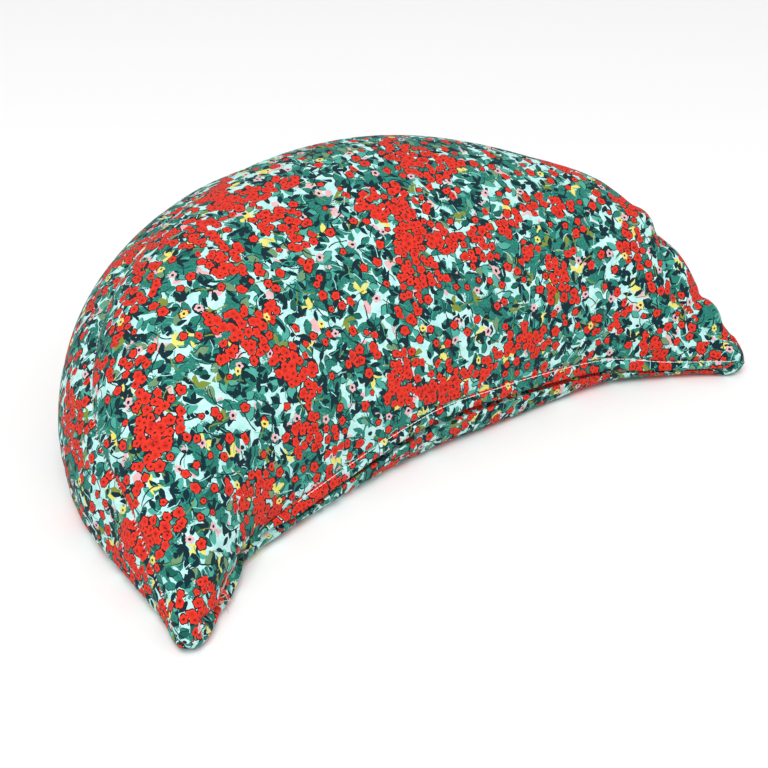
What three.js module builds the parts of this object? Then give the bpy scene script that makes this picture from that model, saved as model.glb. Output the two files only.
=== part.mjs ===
import * as THREE from 'three';

// A crescent lumbar cushion lying on its flat underside: a domed top panel, a side band round
// the outer arc, and a hollow front closed by a folded lap. Sizes are in millimetres, +Z is up,
// the hollow front faces -Y, and the origin is at the middle of the underside.

// The crescent seen from above
const HALF_WIDTH = 225;
const DEPTH = 280;
const FRONT_HOLLOW = 53;
const FRONT_POWER = 2.5;
const HORN_WRAP = THREE.MathUtils.degToRad(9.7);
const SECTION_FAN = 0.1;

// The horn tips, which are rounded and point a little inwards and forwards
const HORN_RADIUS = 13.5;
const HORN_IN = 3;
const HORN_FORWARD = 4;
const HORN_SHARE = 0.07;
const HORN_TIP_RISE = 0.42;

// The section across the crescent
const CREST_PLACE = 0.5;
const CREST_PLACE_AT_HORNS = 0.56;
const FRONT_ROUND = 1.7;
const FRONT_ROUND_AT_HORNS = 2.1;
const BACK_ROUND = 1.93;
const FRONT_UNDERCUT = 13;
const BACK_UNDERCUT = 18;
const UNDERCUT_SHARE = 0.3;
const LIP_INSET = 2.5;
const LIP_INSET_AT_HORNS = 6;
const BELLY_SHARE = 0.5;
const SEAM_PINCH = 5;
const SEAM_PINCH_REACH = 13;
const BASE_SEAM_PINCH = 2;
const BASE_SEAM_REACH = 9;
const FULL_PINCH_WIDTH = 190;
const SLIM_WIDTH = 120;

// The folded lap over the front closure, and the seat that the cushion leaves for it
const LAP_FROM = 0.14;
const LAP_TO = 0.95;
const LAP_WIDTH = 8.5;
const LAP_MOST = 0.85;
const LAP_SEAT = 1.6;
const SEAT_FADE = 0.02;
const SEAT_MARGIN = 0.01;
const SLIT_DEPTH = 1.4;
const CLEARANCE = 0.3;

// Steps along the crescent and round the section
const STATIONS = 88;
const LAP_STATIONS = 60;
const CROWN_STEPS = 12;
const BACK_STEPS = 9;
const BAND_STEPS = 12;
const UNDER_STEPS = 5;
const END_CROWDING = 0.5;
const MIDLINE_SAMPLES = 400;

// One row for each section from the left horn to the right one: how far along the crescent it
// is in percent, how much the back and the front stand proud of the plan, and the heights of
// the crest, the front lip, the top seam and the widest girth.
const SECTION_COLUMNS = ['along', 'back', 'front', 'crest', 'lip', 'seam', 'girth'];
const SECTION_ROWS = [
  [0, -6, -4, 22, 14, 8, 10],
  [3, -10, 2, 34, 11, 19, 12],
  [8, -10, 4, 59, 11, 44, 16],
  [15, -5, 0, 94, 15, 68, 18],
  [25, -1, 3, 125, 22, 101, 25],
  [37, -2, 4, 141, 29, 123, 31],
  [50, -3, 5, 148, 34, 132, 33],
  [63, -2, 7, 144, 32, 127, 30],
  [75, -3, 5, 128, 27, 114, 23],
  [85, -3, 2, 107, 19, 87, 17],
  [92, -4, 4, 67, 14, 40, 13],
  [97, -5, 1, 34, 13, 16, 10],
  [100, -6, -4, 20, 14, 8, 9],
];

// One row for each soft fold that buckles the side band: its place and its half width along
// the crescent in percent, and its depth.
const FOLD_COLUMNS = ['along', 'spread', 'depth'];
const FOLD_ROWS = [
  [6, 1.2, 2.5],
  [10, 1.6, 3],
  [15, 2, 2],
  [88.8, 1.5, 3.5],
  [94.2, 1.1, 3.5],
  [97.1, 0.9, 2],
];

// The lap's own section: how far down from the topstitch line, as a share of its width plus
// an offset, and how far it stands out from the line between lip and belly.
const LAP_COLUMNS = ['share', 'offset', 'out'];
const LAP_ROWS = [
  [1, -0.9, CLEARANCE - LAP_SEAT],
  [1, 0, -0.6],
  [1, 0, 0.2],
  [1, -1.8, 0.9],
  [0, 2.4, 0.6],
  [0, 0.5, -0.2],
  [0, 0.5, CLEARANCE - LAP_SEAT],
];

const toRecords = (columns, rows) =>
  rows.map((row) => Object.fromEntries(columns.map((name, i) => [name, row[i]])));

const SECTIONS = toRecords(SECTION_COLUMNS, SECTION_ROWS);
const FOLDS = toRecords(FOLD_COLUMNS, FOLD_ROWS);
const LAP_OUTLINE = toRecords(LAP_COLUMNS, LAP_ROWS);

const { clamp, lerp, smoothstep } = THREE.MathUtils;

// A smooth curve through one column of the section table
function columnAt(name, t) {
  const xs = SECTIONS.map((row) => row.along / 100);
  const ys = SECTIONS.map((row) => row[name]);
  const last = xs.length - 1;
  const rise = (i) => (ys[i + 1] - ys[i]) / (xs[i + 1] - xs[i]);
  const slope = (i) => {
    if (i === 0) return rise(0);
    if (i === last) return rise(last - 1);
    const before = xs[i] - xs[i - 1];
    const after = xs[i + 1] - xs[i];
    return (rise(i - 1) * after + rise(i) * before) / (before + after);
  };
  let i = 0;
  while (i < last - 1 && t > xs[i + 1]) i += 1;
  const span = xs[i + 1] - xs[i];
  const s = clamp((t - xs[i]) / span, 0, 1);
  const rest = 1 - s;
  return (1 + 2 * s) * rest * rest * ys[i] + s * rest * rest * span * slope(i)
    + s * s * (3 - 2 * s) * ys[i + 1] - s * s * rest * span * slope(i + 1);
}

// The outer arc and the hollow front edge at a share t of the way along the crescent
function planAt(t) {
  const angle = -HORN_WRAP + (Math.PI + 2 * HORN_WRAP) * t;
  const arcDepth = DEPTH / (1 + Math.sin(HORN_WRAP));
  const back = new THREE.Vector2(
    -HALF_WIDTH * Math.cos(angle),
    arcDepth * (Math.sin(HORN_WRAP) + Math.sin(angle)),
  );
  const tipX = HALF_WIDTH * Math.cos(HORN_WRAP);
  const side = 1 - 2 * t;
  const x = -tipX * (side - SECTION_FAN * Math.sin(Math.PI * side));
  const front = new THREE.Vector2(x, FRONT_HOLLOW * (1 - Math.abs(x / tipX) ** FRONT_POWER));
  return { back, front, middle: back.clone().add(front).multiplyScalar(0.5) };
}

// Lengths along the middle line, so that the horn tips close over a real distance
const midlineLengths = [0];
for (let i = 1; i <= MIDLINE_SAMPLES; i += 1) {
  const here = planAt(i / MIDLINE_SAMPLES).middle;
  const before = planAt((i - 1) / MIDLINE_SAMPLES).middle;
  midlineLengths.push(midlineLengths[i - 1] + here.distanceTo(before));
}

function distanceFromTip(t) {
  const place = t * MIDLINE_SAMPLES;
  const i = Math.min(Math.floor(place), MIDLINE_SAMPLES - 1);
  const length = lerp(midlineLengths[i], midlineLengths[i + 1], place - i);
  return Math.min(length, midlineLengths[MIDLINE_SAMPLES] - length);
}

// The share of its full size that a horn has at t, round at its very tip
function hornClosing(t) {
  const inwards = clamp(distanceFromTip(t) / HORN_RADIUS, 0, 1);
  return Math.sqrt(1 - (1 - inwards) ** 2);
}

// Where the section at t stands, how big it is and the points that its curves pass through
function frameAt(t) {
  const { back, front, middle } = planAt(t);
  const across = back.clone().sub(front);
  const half = across.length() / 2;
  across.normalize();
  const closing = hornClosing(t);
  const halfWidth = Math.cbrt(HORN_RADIUS ** 3 + half ** 3) * closing;
  const backReach = columnAt('back', t) * closing;
  const frontReach = columnAt('front', t) * closing;
  const width = 2 * halfWidth + backReach + frontReach;
  const start = middle.clone().addScaledVector(across, -halfWidth - frontReach);
  const nearLeft = Math.exp(-((t / HORN_SHARE) ** 2));
  const nearRight = Math.exp(-(((1 - t) / HORN_SHARE) ** 2));
  start.x += HORN_IN * (nearLeft - nearRight);
  start.y -= HORN_FORWARD * (nearRight + nearLeft);

  const crest = columnAt('crest', t) * closing;
  const slim = Math.min(1, width / SLIM_WIDTH);
  const offCentre = Math.abs(1 - 2 * t);
  const atHorn = offCentre ** 2;
  const lipInset = lerp(LIP_INSET, LIP_INSET_AT_HORNS, atHorn) * slim;
  const crestPlace = lerp(CREST_PLACE, CREST_PLACE_AT_HORNS, atHorn);
  const lipHeight = Math.min(columnAt('lip', t) * closing, 0.85 * crest);
  const girth = Math.min(columnAt('girth', t) * closing, 0.6 * crest);
  const seam = clamp(columnAt('seam', t) * closing, girth + 0.05 * crest, 0.96 * crest);
  return {
    t,
    start,
    across,
    width,
    crest,
    girth,
    seam,
    slim,
    frontPower: 2 / lerp(FRONT_ROUND, FRONT_ROUND_AT_HORNS, atHorn),
    lip: new THREE.Vector2(lipInset, lipHeight),
    belly: new THREE.Vector2(0, BELLY_SHARE * lipHeight),
    peak: new THREE.Vector2(lipInset + (width - lipInset) * crestPlace, crest),
    rise: HORN_TIP_RISE * columnAt('crest', t) * (1 - closing),
  };
}

// A point of the section, given across and up, as a point of the cushion
function place(frame, point) {
  return new THREE.Vector3(
    frame.start.x + frame.across.x * point.x,
    frame.start.y + frame.across.y * point.x,
    point.y + frame.rise,
  );
}

// The outer half of the section, from the crest over the girth to the underside: ovals drawn in
// at the top seam and at the seam of the underside, and buckled by the folds of the side band
function outerCurve(frame) {
  const { peak, girth, crest, width, seam } = frame;
  const power = 2 / BACK_ROUND;
  const onOval = (angle) => new THREE.Vector2(
    peak.x + (width - peak.x) * Math.cos(angle) ** power,
    girth + (crest - girth) * Math.sin(angle) ** power,
  );
  const seamAngle = Math.asin(((seam - girth) / (crest - girth)) ** (1 / power));
  const seamPoint = onOval(seamAngle);
  const tightness = Math.min(1, width / FULL_PINCH_WIDTH);
  const pinches = [
    { at: seamPoint, depth: SEAM_PINCH * tightness, reach: SEAM_PINCH_REACH * frame.slim + 3 },
    { at: onOval(0), depth: BASE_SEAM_PINCH * tightness, reach: BASE_SEAM_REACH },
  ];
  const folds = FOLDS.reduce((sum, fold) => {
    const off = (100 * frame.t - fold.along) / fold.spread;
    return sum + fold.depth * Math.exp(-off * off);
  }, 0);
  const heart = new THREE.Vector2(peak.x, 0.2 * crest);
  const points = [];
  const add = (point, bandShare) => {
    const drawn = pinches.reduce((sum, { at, depth, reach }) => {
      const near = point.distanceTo(at) / reach;
      return sum + depth * Math.exp(-near * near);
    }, folds * Math.sin(Math.PI * bandShare));
    const inwards = heart.clone().sub(point).normalize();
    points.push(point.addScaledVector(inwards, drawn * Math.min(1, point.y / BASE_SEAM_REACH)));
  };
  for (let i = 1; i <= BACK_STEPS; i += 1) {
    add(onOval(lerp(Math.PI / 2, seamAngle, i / BACK_STEPS)), 0);
  }
  for (let i = 1; i <= BAND_STEPS; i += 1) {
    add(onOval(seamAngle * (1 - i / BAND_STEPS)), i / BAND_STEPS);
  }
  const undercut = Math.min(BACK_UNDERCUT, UNDERCUT_SHARE * width);
  for (let i = 1; i <= UNDER_STEPS; i += 1) {
    const angle = (Math.PI / 2) * (i / UNDER_STEPS);
    add(new THREE.Vector2(
      width - undercut * (1 - Math.cos(angle)),
      girth * (1 - Math.sin(angle)),
    ), 1);
  }
  return points;
}

// The line from the lip down to the belly, which the lap lies along
function lapLine(frame) {
  const down = frame.belly.clone().sub(frame.lip);
  const length = down.length();
  down.normalize();
  const out = new THREE.Vector2(down.y, -down.x);
  const width = Math.min(LAP_WIDTH, LAP_MOST * length);
  const at = (distance, proud) =>
    frame.lip.clone().addScaledVector(down, distance).addScaledVector(out, proud);
  return { at, width, rest: length - width };
}

// One closed ring of the cushion, from the lip over the crest and back along the underside
function cushionRing(t) {
  const frame = frameAt(t);
  const { lip, peak, width, frontPower } = frame;
  const ring = [];
  for (let i = 0; i <= CROWN_STEPS; i += 1) {
    const angle = (Math.PI / 2) * (i / CROWN_STEPS);
    ring.push(new THREE.Vector2(
      peak.x - (peak.x - lip.x) * Math.cos(angle) ** frontPower,
      lip.y + (peak.y - lip.y) * Math.sin(angle) ** frontPower,
    ));
  }
  ring.push(...outerCurve(frame));

  const lap = lapLine(frame);
  const seat = smoothstep(t, LAP_FROM - SEAT_MARGIN - SEAT_FADE, LAP_FROM - SEAT_MARGIN)
    * (1 - smoothstep(t, LAP_TO + SEAT_MARGIN, LAP_TO + SEAT_MARGIN + SEAT_FADE));
  const slitEnd = lap.width + 0.7 * lap.rest;
  const bellyTop = lap.at(slitEnd, 0);
  const frontUndercut = Math.min(FRONT_UNDERCUT, UNDERCUT_SHARE * width);
  for (let i = 0; i < UNDER_STEPS; i += 1) {
    const angle = (Math.PI / 2) * (i / UNDER_STEPS);
    ring.push(new THREE.Vector2(
      frontUndercut - (frontUndercut - bellyTop.x) * Math.sin(angle),
      bellyTop.y * (1 - Math.cos(angle)),
    ));
  }
  ring.push(bellyTop);
  ring.push(lap.at(lap.width + 0.3 * lap.rest, -seat * (LAP_SEAT + SLIT_DEPTH)));
  ring.push(lap.at(lap.width - 0.2, -seat * LAP_SEAT));
  ring.push(lap.at(0.15 * lap.width * (1 - seat) + 0.2, -seat * LAP_SEAT));
  return ring.map((point) => place(frame, point));
}

function lapRing(t) {
  const frame = frameAt(t);
  const lap = lapLine(frame);
  return LAP_OUTLINE.map((row) =>
    place(frame, lap.at(row.share * lap.width + row.offset, row.out)));
}

const centreOf = (ring) =>
  ring.reduce((sum, point) => sum.add(point), new THREE.Vector3()).divideScalar(ring.length);

// A closed skin over rings of equal length, each end closed by a fan to a point
function loft(rings, firstEnd, lastEnd) {
  const count = rings[0].length;
  const points = [...rings.flat(), firstEnd, lastEnd];
  const first = rings.length * count;
  const last = first + 1;
  const faces = [];
  for (let j = 0; j < count; j += 1) {
    const next = (j + 1) % count;
    for (let i = 0; i + 1 < rings.length; i += 1) {
      const a = i * count + j;
      const b = i * count + next;
      const c = a + count;
      const d = b + count;
      faces.push(a, c, b, b, c, d);
    }
    const end = (rings.length - 1) * count;
    faces.push(first, j, next);
    faces.push(last, end + next, end + j);
  }
  const geometry = new THREE.BufferGeometry();
  const positions = points.flatMap((point) => point.toArray());
  geometry.setAttribute('position', new THREE.Float32BufferAttribute(positions, 3));
  geometry.setIndex(faces);
  geometry.computeVertexNormals();
  return geometry;
}

// Stations closer together towards the horn tips
function stationAt(i, count) {
  const even = i / count;
  const crowded = (1 - Math.cos(Math.PI * even)) / 2;
  return lerp(even, crowded, END_CROWDING);
}

function makeCushion() {
  const rings = [];
  for (let i = 1; i < STATIONS; i += 1) rings.push(cushionRing(stationAt(i, STATIONS)));
  const tipAt = (t) => place(frameAt(t), new THREE.Vector2(0, 0));
  const geometry = loft(rings, tipAt(0), tipAt(1));
  const cloth = new THREE.MeshStandardMaterial({ color: 0x4f8f86, roughness: 0.85, metalness: 0 });
  const cushion = new THREE.Mesh(geometry, cloth);
  cushion.name = 'cushion';
  return cushion;
}

function makeZipLap() {
  const rings = [];
  for (let i = 0; i <= LAP_STATIONS; i += 1) {
    rings.push(lapRing(lerp(LAP_FROM, LAP_TO, i / LAP_STATIONS)));
  }
  const geometry = loft(rings, centreOf(rings[0]), centreOf(rings[LAP_STATIONS]));
  const cloth = new THREE.MeshStandardMaterial({ color: 0xc9503f, roughness: 0.85, metalness: 0 });
  const lap = new THREE.Mesh(geometry, cloth);
  lap.name = 'zip_lap';
  return lap;
}

const part = new THREE.Group();
part.add(makeCushion(), makeZipLap());

// The origin goes to the middle of the underside
const box = new THREE.Box3().setFromObject(part);
const centre = box.getCenter(new THREE.Vector3());
part.position.set(-centre.x, -centre.y, -box.min.z);

export default part;
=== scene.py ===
import math

import bpy
import numpy as np
from mathutils import Matrix, Vector


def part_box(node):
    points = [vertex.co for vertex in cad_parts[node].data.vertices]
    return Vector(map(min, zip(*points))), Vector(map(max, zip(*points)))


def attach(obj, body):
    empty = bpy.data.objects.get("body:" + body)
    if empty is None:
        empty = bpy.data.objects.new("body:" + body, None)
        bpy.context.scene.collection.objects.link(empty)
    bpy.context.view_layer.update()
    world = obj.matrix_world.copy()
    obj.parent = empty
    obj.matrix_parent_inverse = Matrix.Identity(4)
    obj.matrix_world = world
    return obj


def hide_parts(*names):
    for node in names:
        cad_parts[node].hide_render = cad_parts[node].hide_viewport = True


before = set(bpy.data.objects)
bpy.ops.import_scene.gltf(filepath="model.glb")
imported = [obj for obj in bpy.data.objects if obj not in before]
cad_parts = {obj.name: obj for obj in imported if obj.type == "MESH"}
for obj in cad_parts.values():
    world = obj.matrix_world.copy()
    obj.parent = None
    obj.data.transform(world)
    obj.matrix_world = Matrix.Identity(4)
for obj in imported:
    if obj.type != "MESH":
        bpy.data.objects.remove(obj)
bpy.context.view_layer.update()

MM = 0.001

# Sizes of the crescent seen from above, in millimetres, as cut in the frame
HALF_WIDTH = 225
DEPTH = 280
FRONT_HOLLOW = 53
FRONT_POWER = 2.5
HORN_WRAP = math.radians(9.7)
SECTION_FAN = 0.1
HORN_RADIUS = 13.5
HORN_IN = 3
HORN_FORWARD = 4
HORN_SHARE = 0.07
HORN_TIP_RISE = 0.42

# Sizes of the section across the crescent
CREST_PLACE = (0.5, 0.56)
FRONT_ROUND = (1.7, 2.1)
BACK_ROUND = 1.93
BACK_UNDERCUT = 18
UNDERCUT_SHARE = 0.3
LIP_INSET = (2.5, 6)
BELLY_SHARE = 0.5
SEAM_PINCH = 5
SEAM_PINCH_REACH = 13
BASE_SEAM_PINCH = 2
BASE_SEAM_REACH = 9
FULL_PINCH_WIDTH = 190
PINCH_TO = 0.2
SLIM_WIDTH = 120

# The most that the lip and the girth may be, and the least and most height of the seam over the
# girth, as shares of the crest's height
LIP_MOST, GIRTH_MOST = 0.85, 0.6
SEAM_LEAST, SEAM_MOST = 0.05, 0.96
TIP_SHARE = 1e-6

# The folded lap along the front
LAP_FROM, LAP_TO = 0.14, 0.988
LAP_WIDTH = 8.5
LAP_MOST = 0.85
LAP_SEAT = 1.6
CLOTH = 0.55
LAP_STATIONS = 260
LAP_TAPER = (32, 4)
LAP_SHORTER = 0.7
LAP_PRINT_AT = (2.1, 0.9)

# The cloth of the lap in section, down the outside, round the fold and up inside: how far down,
# as a share of its width and then in mm, and how far out in mm
LAP_SECTION = (
    (0, -0.3, -0.35), (0.06, 0, 0.15), (0.22, 0, 0.6), (0.45, 0, 0.95),
    (0.65, 0, 0.95), (0.85, 0, 0.8), (1, -0.35, 0.55), (1, -0.05, 0.25),
    (1, -0.05, -0.15), (1, -0.4, -0.45), (0.85, 0, -0.55), (0.6, 0, -0.5),
    (0.35, 0, -0.6), (0.15, 0, -0.75),
)

# Each kind of stitching: pitch, stitch length, thread radius and arch in mm, unevenness, seed
TOPSTITCHING = (3.2, 2.6, 0.21, 0.5, 0.08, 4)
BACKTACKING = (0.55, 3.4, 0.3, 1.0, 0.3, 9)
SEAM_STITCHING = (2.6, 2.2, 0.24, 0.5, 0.25, 12)
STITCH_FROM = 0.205
BACKTACK = (0.882, 0.893)

# Where stitches show in the top seam, in percent along
SEAM_STITCHES = (("left_seam_stitches", (2.5, 27)), ("right_seam_stitches", (92.4, 94.4)))

# The frayed thread ends at the left horn: where they start, as percent along and row, which way
# they point and how long they are, in mm; and the raw edge beside them
FRAYED_ENDS = 9
THREAD_SIDES = 6
FRAY_PATH = ((5.6, 3), (4.6, -2))
FRAY_WAY = (0.8, -0.6, 0.15)
FRAY_LENGTH = (4, 10)
THREAD_RADIUS = (0.15, 0.24)
THREAD_POINTS = 14
THREAD_SPREAD, THREAD_CURL = 0.55, 0.35
CURL_TURN = (1.5, 4)
RAW_EDGE = ((9.2, 2.6), (7.5, 2.8), (5.8, 3.0), (5.2, 1.0))
RAW_EDGE_RADIUS, RAW_EDGE_POINTS = 0.6, 24
RAW_EDGE_WAVE = np.array((0.15, 0.075, 0.175))

# The section at percent along: how far its back and front stand out, how high its crest, lip, seam
# and girth lie, all in mm
SECTION_COLUMNS = ("along", "back", "front", "crest", "lip", "seam", "girth")
SECTION_ROWS = (
    (0, -5, -4, 22, 14, 8, 10),
    (3, -8.4, 2, 34, 11, 19, 12),
    (8, -10, 4, 59, 11, 44, 16),
    (15, -4, 0, 94, 15, 68, 18),
    (25, -1, 3, 125, 22, 101, 25),
    (37, -2, 4, 141, 29, 123, 31),
    (50, -3, 5, 148, 34, 132, 33),
    (63, -2, 7, 144, 32, 127, 30),
    (75, -3, 5, 128, 27, 114, 23),
    (85, -3, 2, 107, 21, 87, 17),
    (92, -4, 4, 67, 14, 40, 13),
    (97, -5, 1, 32, 13, 16, 10),
    (100, -6, -4, 20, 14, 8, 9),
)

# Soft folds that buckle the side band: place and half width in percent along, depth in mm
BAND_FOLDS = (
    (6, 1.2, 2.5), (10, 1.6, 3), (15, 2, 2),
    (88.8, 1.5, 3.5), (94.2, 1.1, 3.5), (97.1, 0.9, 2),
)

# How far the floor contact lies behind the front, in mm, at percent along
FRONT_ALONG = (0, 58, 65, 70, 78, 85, 90, 96, 100)
FRONT_UNDERCUT = (11.5, 11.5, 9.6, 8.4, 10.6, 17, 17, 14, 12)

# How far the top seam of the right horn is rolled up towards its crest, in mm, at percent along
ROLL_ALONG = (78, 84, 88.8, 91, 92, 93, 94.2, 95, 97, 98.5, 100)
SEAM_ROLL = (0, 12, 38, 64, 66, 62, 54, 49, 33, 21, 4)

# How far the slit under the lap opens, in mm, at percent along
SLIT_ALONG = (14, 30, 45, 60, 68, 75, 85, 95)
SLIT_OPEN = (0.8, 2.6, 4.0, 4.8, 4.8, 4.4, 3.0, 1.6)
SLIT_DEEPEST = 7
SLIT_DEPTH = (1, 2.4)
SLIT_RUN_IN = 0.03
SLIT_MOST = 0.45
BELLY_PLACE = 0.7

# The rows inside the slit: how far down each lies, as shares of the lap's width, the gap, what is
# left of the front below the gap and the depth, and then in mm; and how far out it lies, as a
# share of the depth and then in mm
SLIT_ROWS = (
    ((1, 1, 0.4, 0, 0), (0, 0.4)),
    ((1, 1, 0, 0, 0.5), (0, 0.2)),
    ((1, 1, 0, 0, 0), (0, -0.7)),
    ((1, 0.7, 0, 0.35, 0), (-0.6, 0)),
    ((1, 0.3, 0, 0, 0), (-1, 0)),
    ((0.7, 0, 0, 0, 0), (-0.5, -LAP_SEAT)),
    ((0.35, 0, 0, 0, 0), (0, -LAP_SEAT)),
    ((0.12, 0, 0, 0, 0), (0, -LAP_SEAT)),
)

# Rows of the cover: how many in each stretch of a section, and those close to a seam, in mm
STATIONS = 200
TOP_ROWS, BAND_ROWS, BASE_ROWS, CURL_ROWS = 44, 20, 20, 6
PANEL_ROWS = (0, TOP_ROWS, TOP_ROWS + BAND_ROWS)
NEAR_SEAM = (0.9, 2, 3.6)
FINE_STEPS = 90
LEAST_TOP_SHARE = 0.3
BASE_FREE_ROWS = 14
UNWRAP_ROUNDS = 30
PANEL_SHIFT = np.array((0.7, 0.31))

# How the cloth of the cover swells
SWELL_FRAMES = 20
SWELL = {
    "quality": 6, "mass": 0.15, "tension_stiffness": 20, "compression_stiffness": 20,
    "shear_stiffness": 8, "bending_stiffness": 0.3, "use_pressure": True,
    "uniform_pressure_force": 4, "shrink_min": -0.01,
}
SWELL_CAP = 5 * MM
BROAD_ROUNDS = 50
BROAD_SHARE = 0.2
INNER_WRINKLES = 0.4
WRINKLE_ROWS = 6
GROOVE_REACH = 2.4
FLAT_BESIDE_SEAM = 2.5
PUCKER_LENGTHS = (8, 22)
PATH_STEPS = 60
SLIM_GIRTH = 200

# The top, base and front seams: row, how far drawn in, puckers and their reach, in mm, and a seed
SEAMS = (
    (TOP_ROWS, 1.9, 0.9, 10, 3),
    (TOP_ROWS + BAND_ROWS, 1.0, 0.7, 8, 5),
    (0, 0.3, 0.35, 7, 8),
)
# How strong the puckers are at percent along: most at the horns
PUCKER_SHARE = ((0, 8, 25, 60, 85, 93, 100), (1.3, 1.3, 0.8, 0.6, 1.2, 1.6, 1.3))
# Creases, and bulges with a depth below 0: depth and half width in mm, then the path, each
# point as percent along and row
CREASES = (
    (4.0, 1.9, ((13.6, 1), (10.5, 3.5), (7.5, 3.7), (5.8, 4.2), (5.1, 1), (4.7, -3))),
    (6.0, 2.2, ((4.9, -6), (4.1, -3), (3.0, 1), (2.0, 4), (1.3, 8))),
    (1.2, 1.3, ((1.5, 5), (0.9, 4), (0.6, 1))),
    (4.5, 9.0, ((8.5, -4), (11.0, -5), (13.5, -5), (15.5, -6))),
    (4.5, 6.0, ((11.6, -11), (11.4, -6), (11.2, -1))),
    (-5.2, 7.0, ((86.2, 34), (87.2, 38), (88.5, 41.5))),
    (3.6, 2.4, ((93.6, 46), (94.2, 49), (94.4, 54), (94.4, 60))),
    (-3.2, 9.0, ((90.2, 50), (91.5, 51), (93.2, 52))),
    (-5.0, 8.0, ((93.6, 52), (95.3, 51), (96.8, 52))),
    (1.2, 1.4, ((96.2, 46), (96.7, 50), (96.8, 56))),
    (1.2, 1.4, ((97.6, 45), (98.0, 49), (98.1, 54))),
)


def column(name, t):
    """A smooth curve through one column of the section table."""
    rows = np.array(SECTION_ROWS, float)
    xs, ys = rows[:, 0] / 100, rows[:, SECTION_COLUMNS.index(name)]
    step, rise = np.diff(xs), np.diff(ys) / np.diff(xs)
    slope = np.empty_like(ys)
    slope[0], slope[-1] = rise[0], rise[-1]
    slope[1:-1] = (rise[:-1] * step[1:] + rise[1:] * step[:-1]) / (step[:-1] + step[1:])
    i = np.clip(np.searchsorted(xs, t, side="right") - 1, 0, len(xs) - 2)
    s = np.clip((t - xs[i]) / step[i], 0, 1)
    r = 1 - s
    return (
        (1 + 2 * s) * r * r * ys[i]
        + s * r * r * step[i] * slope[i]
        + s * s * (3 - 2 * s) * ys[i + 1]
        - s * s * r * step[i] * slope[i + 1]
    )


def plan(t):
    """The outer arc and the hollow front edge at shares t of the way along."""
    angle = -HORN_WRAP + (math.pi + 2 * HORN_WRAP) * t
    arc_depth = DEPTH / (1 + math.sin(HORN_WRAP))
    back = np.stack([
        -HALF_WIDTH * np.cos(angle),
        arc_depth * (math.sin(HORN_WRAP) + np.sin(angle)),
    ], -1)
    tip = HALF_WIDTH * math.cos(HORN_WRAP)
    side = 1 - 2 * t
    x = -tip * (side - SECTION_FAN * np.sin(math.pi * side))
    front = np.stack([x, FRONT_HOLLOW * (1 - np.abs(x / tip) ** FRONT_POWER)], -1)
    return back, front


def run_of(points):
    """The length along a line of points, at each of them."""
    return np.concatenate([[0], np.cumsum(np.linalg.norm(np.diff(points, axis=0), axis=1))])


def closing(t):
    """The share of its full size that a horn has at t, round at its very tip."""
    fine = np.linspace(0, 1, 401)
    run = run_of(sum(plan(fine)) / 2)
    length = np.interp(t, fine, run)
    inwards = np.clip(np.minimum(length, run[-1] - length) / HORN_RADIUS, 0, 1)
    return np.sqrt(1 - (1 - inwards) ** 2)


class Sections:
    """The sections at the stations t: where each stands and the sizes of its curves."""

    def __init__(self, t):
        self.t = t
        back, front = plan(t)
        across = back - front
        half = np.linalg.norm(across, axis=1) / 2
        self.across = across / (2 * half[:, None])
        shut = closing(t)
        half_width = np.cbrt(HORN_RADIUS**3 + half**3) * shut
        front_reach = column("front", t) * shut
        self.width = 2 * half_width + column("back", t) * shut + front_reach
        self.start = (back + front) / 2 - self.across * (half_width + front_reach)[:, None]
        near_left = np.exp(-((t / HORN_SHARE) ** 2))
        near_right = np.exp(-(((1 - t) / HORN_SHARE) ** 2))
        self.start[:, 0] += HORN_IN * (near_left - near_right)
        self.start[:, 1] -= HORN_FORWARD * (near_left + near_right)
        self.at_horn = np.abs(1 - 2 * t) ** 2
        self.crest = column("crest", t) * shut
        self.slim = np.minimum(1, self.width / SLIM_WIDTH)
        self.lip_x = self.between(LIP_INSET) * self.slim
        self.lip_z = np.minimum(column("lip", t) * shut, LIP_MOST * self.crest)
        self.girth = np.minimum(column("girth", t) * shut, GIRTH_MOST * self.crest)
        seam = np.maximum(column("seam", t) * shut, self.girth + SEAM_LEAST * self.crest)
        self.seam = np.minimum(seam, SEAM_MOST * self.crest)
        self.peak_x = self.lip_x + (self.width - self.lip_x) * self.between(CREST_PLACE)
        self.rise = HORN_TIP_RISE * column("crest", t) * (1 - shut)
        down = np.stack([-self.lip_x, (BELLY_SHARE - 1) * self.lip_z], -1)
        self.front_length = np.linalg.norm(down, axis=1)
        self.down = down / self.front_length[:, None]
        self.out = np.stack([self.down[:, 1], -self.down[:, 0]], -1)
        self.lap_width = np.minimum(LAP_WIDTH, LAP_MOST * self.front_length)

    def between(self, ends):
        return ends[0] + (ends[1] - ends[0]) * self.at_horn

    def place(self, x, z):
        """Points given across and up, one row of them for each section."""
        flat = self.start[:, None] + self.across[:, None] * x[..., None]
        return np.concatenate([flat, (z + self.rise[:, None])[..., None]], -1)

    def lap_point(self, distance, proud):
        """A point below the topstitch line and out from the line between lip and belly."""
        x = self.lip_x + self.down[:, 0] * distance + self.out[:, 0] * proud
        z = self.lip_z + self.down[:, 1] * distance + self.out[:, 1] * proud
        return x, z


def stations(count):
    """Shares along the crescent, closer together towards the horn tips."""
    even = np.arange(1, count) / count
    return (even + (1 - np.cos(math.pi * even)) / 2) / 2


def smooth_step(x, low, high):
    s = np.clip((x - low) / (high - low), 0, 1)
    return s * s * (3 - 2 * s)


def col(values):
    """One value for each section, as a column that spreads over its points."""
    return values[:, None]


def joined(*pieces):
    return [np.concatenate([piece[axis] for piece in pieces], 1) for axis in (0, 1)]


def run_along(x, z):
    """The length from the start of each curve to each of its points."""
    steps = np.hypot(np.diff(x, axis=1), np.diff(z, axis=1))
    return np.concatenate([np.zeros((len(x), 1)), np.cumsum(steps, axis=1)], 1)


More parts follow.
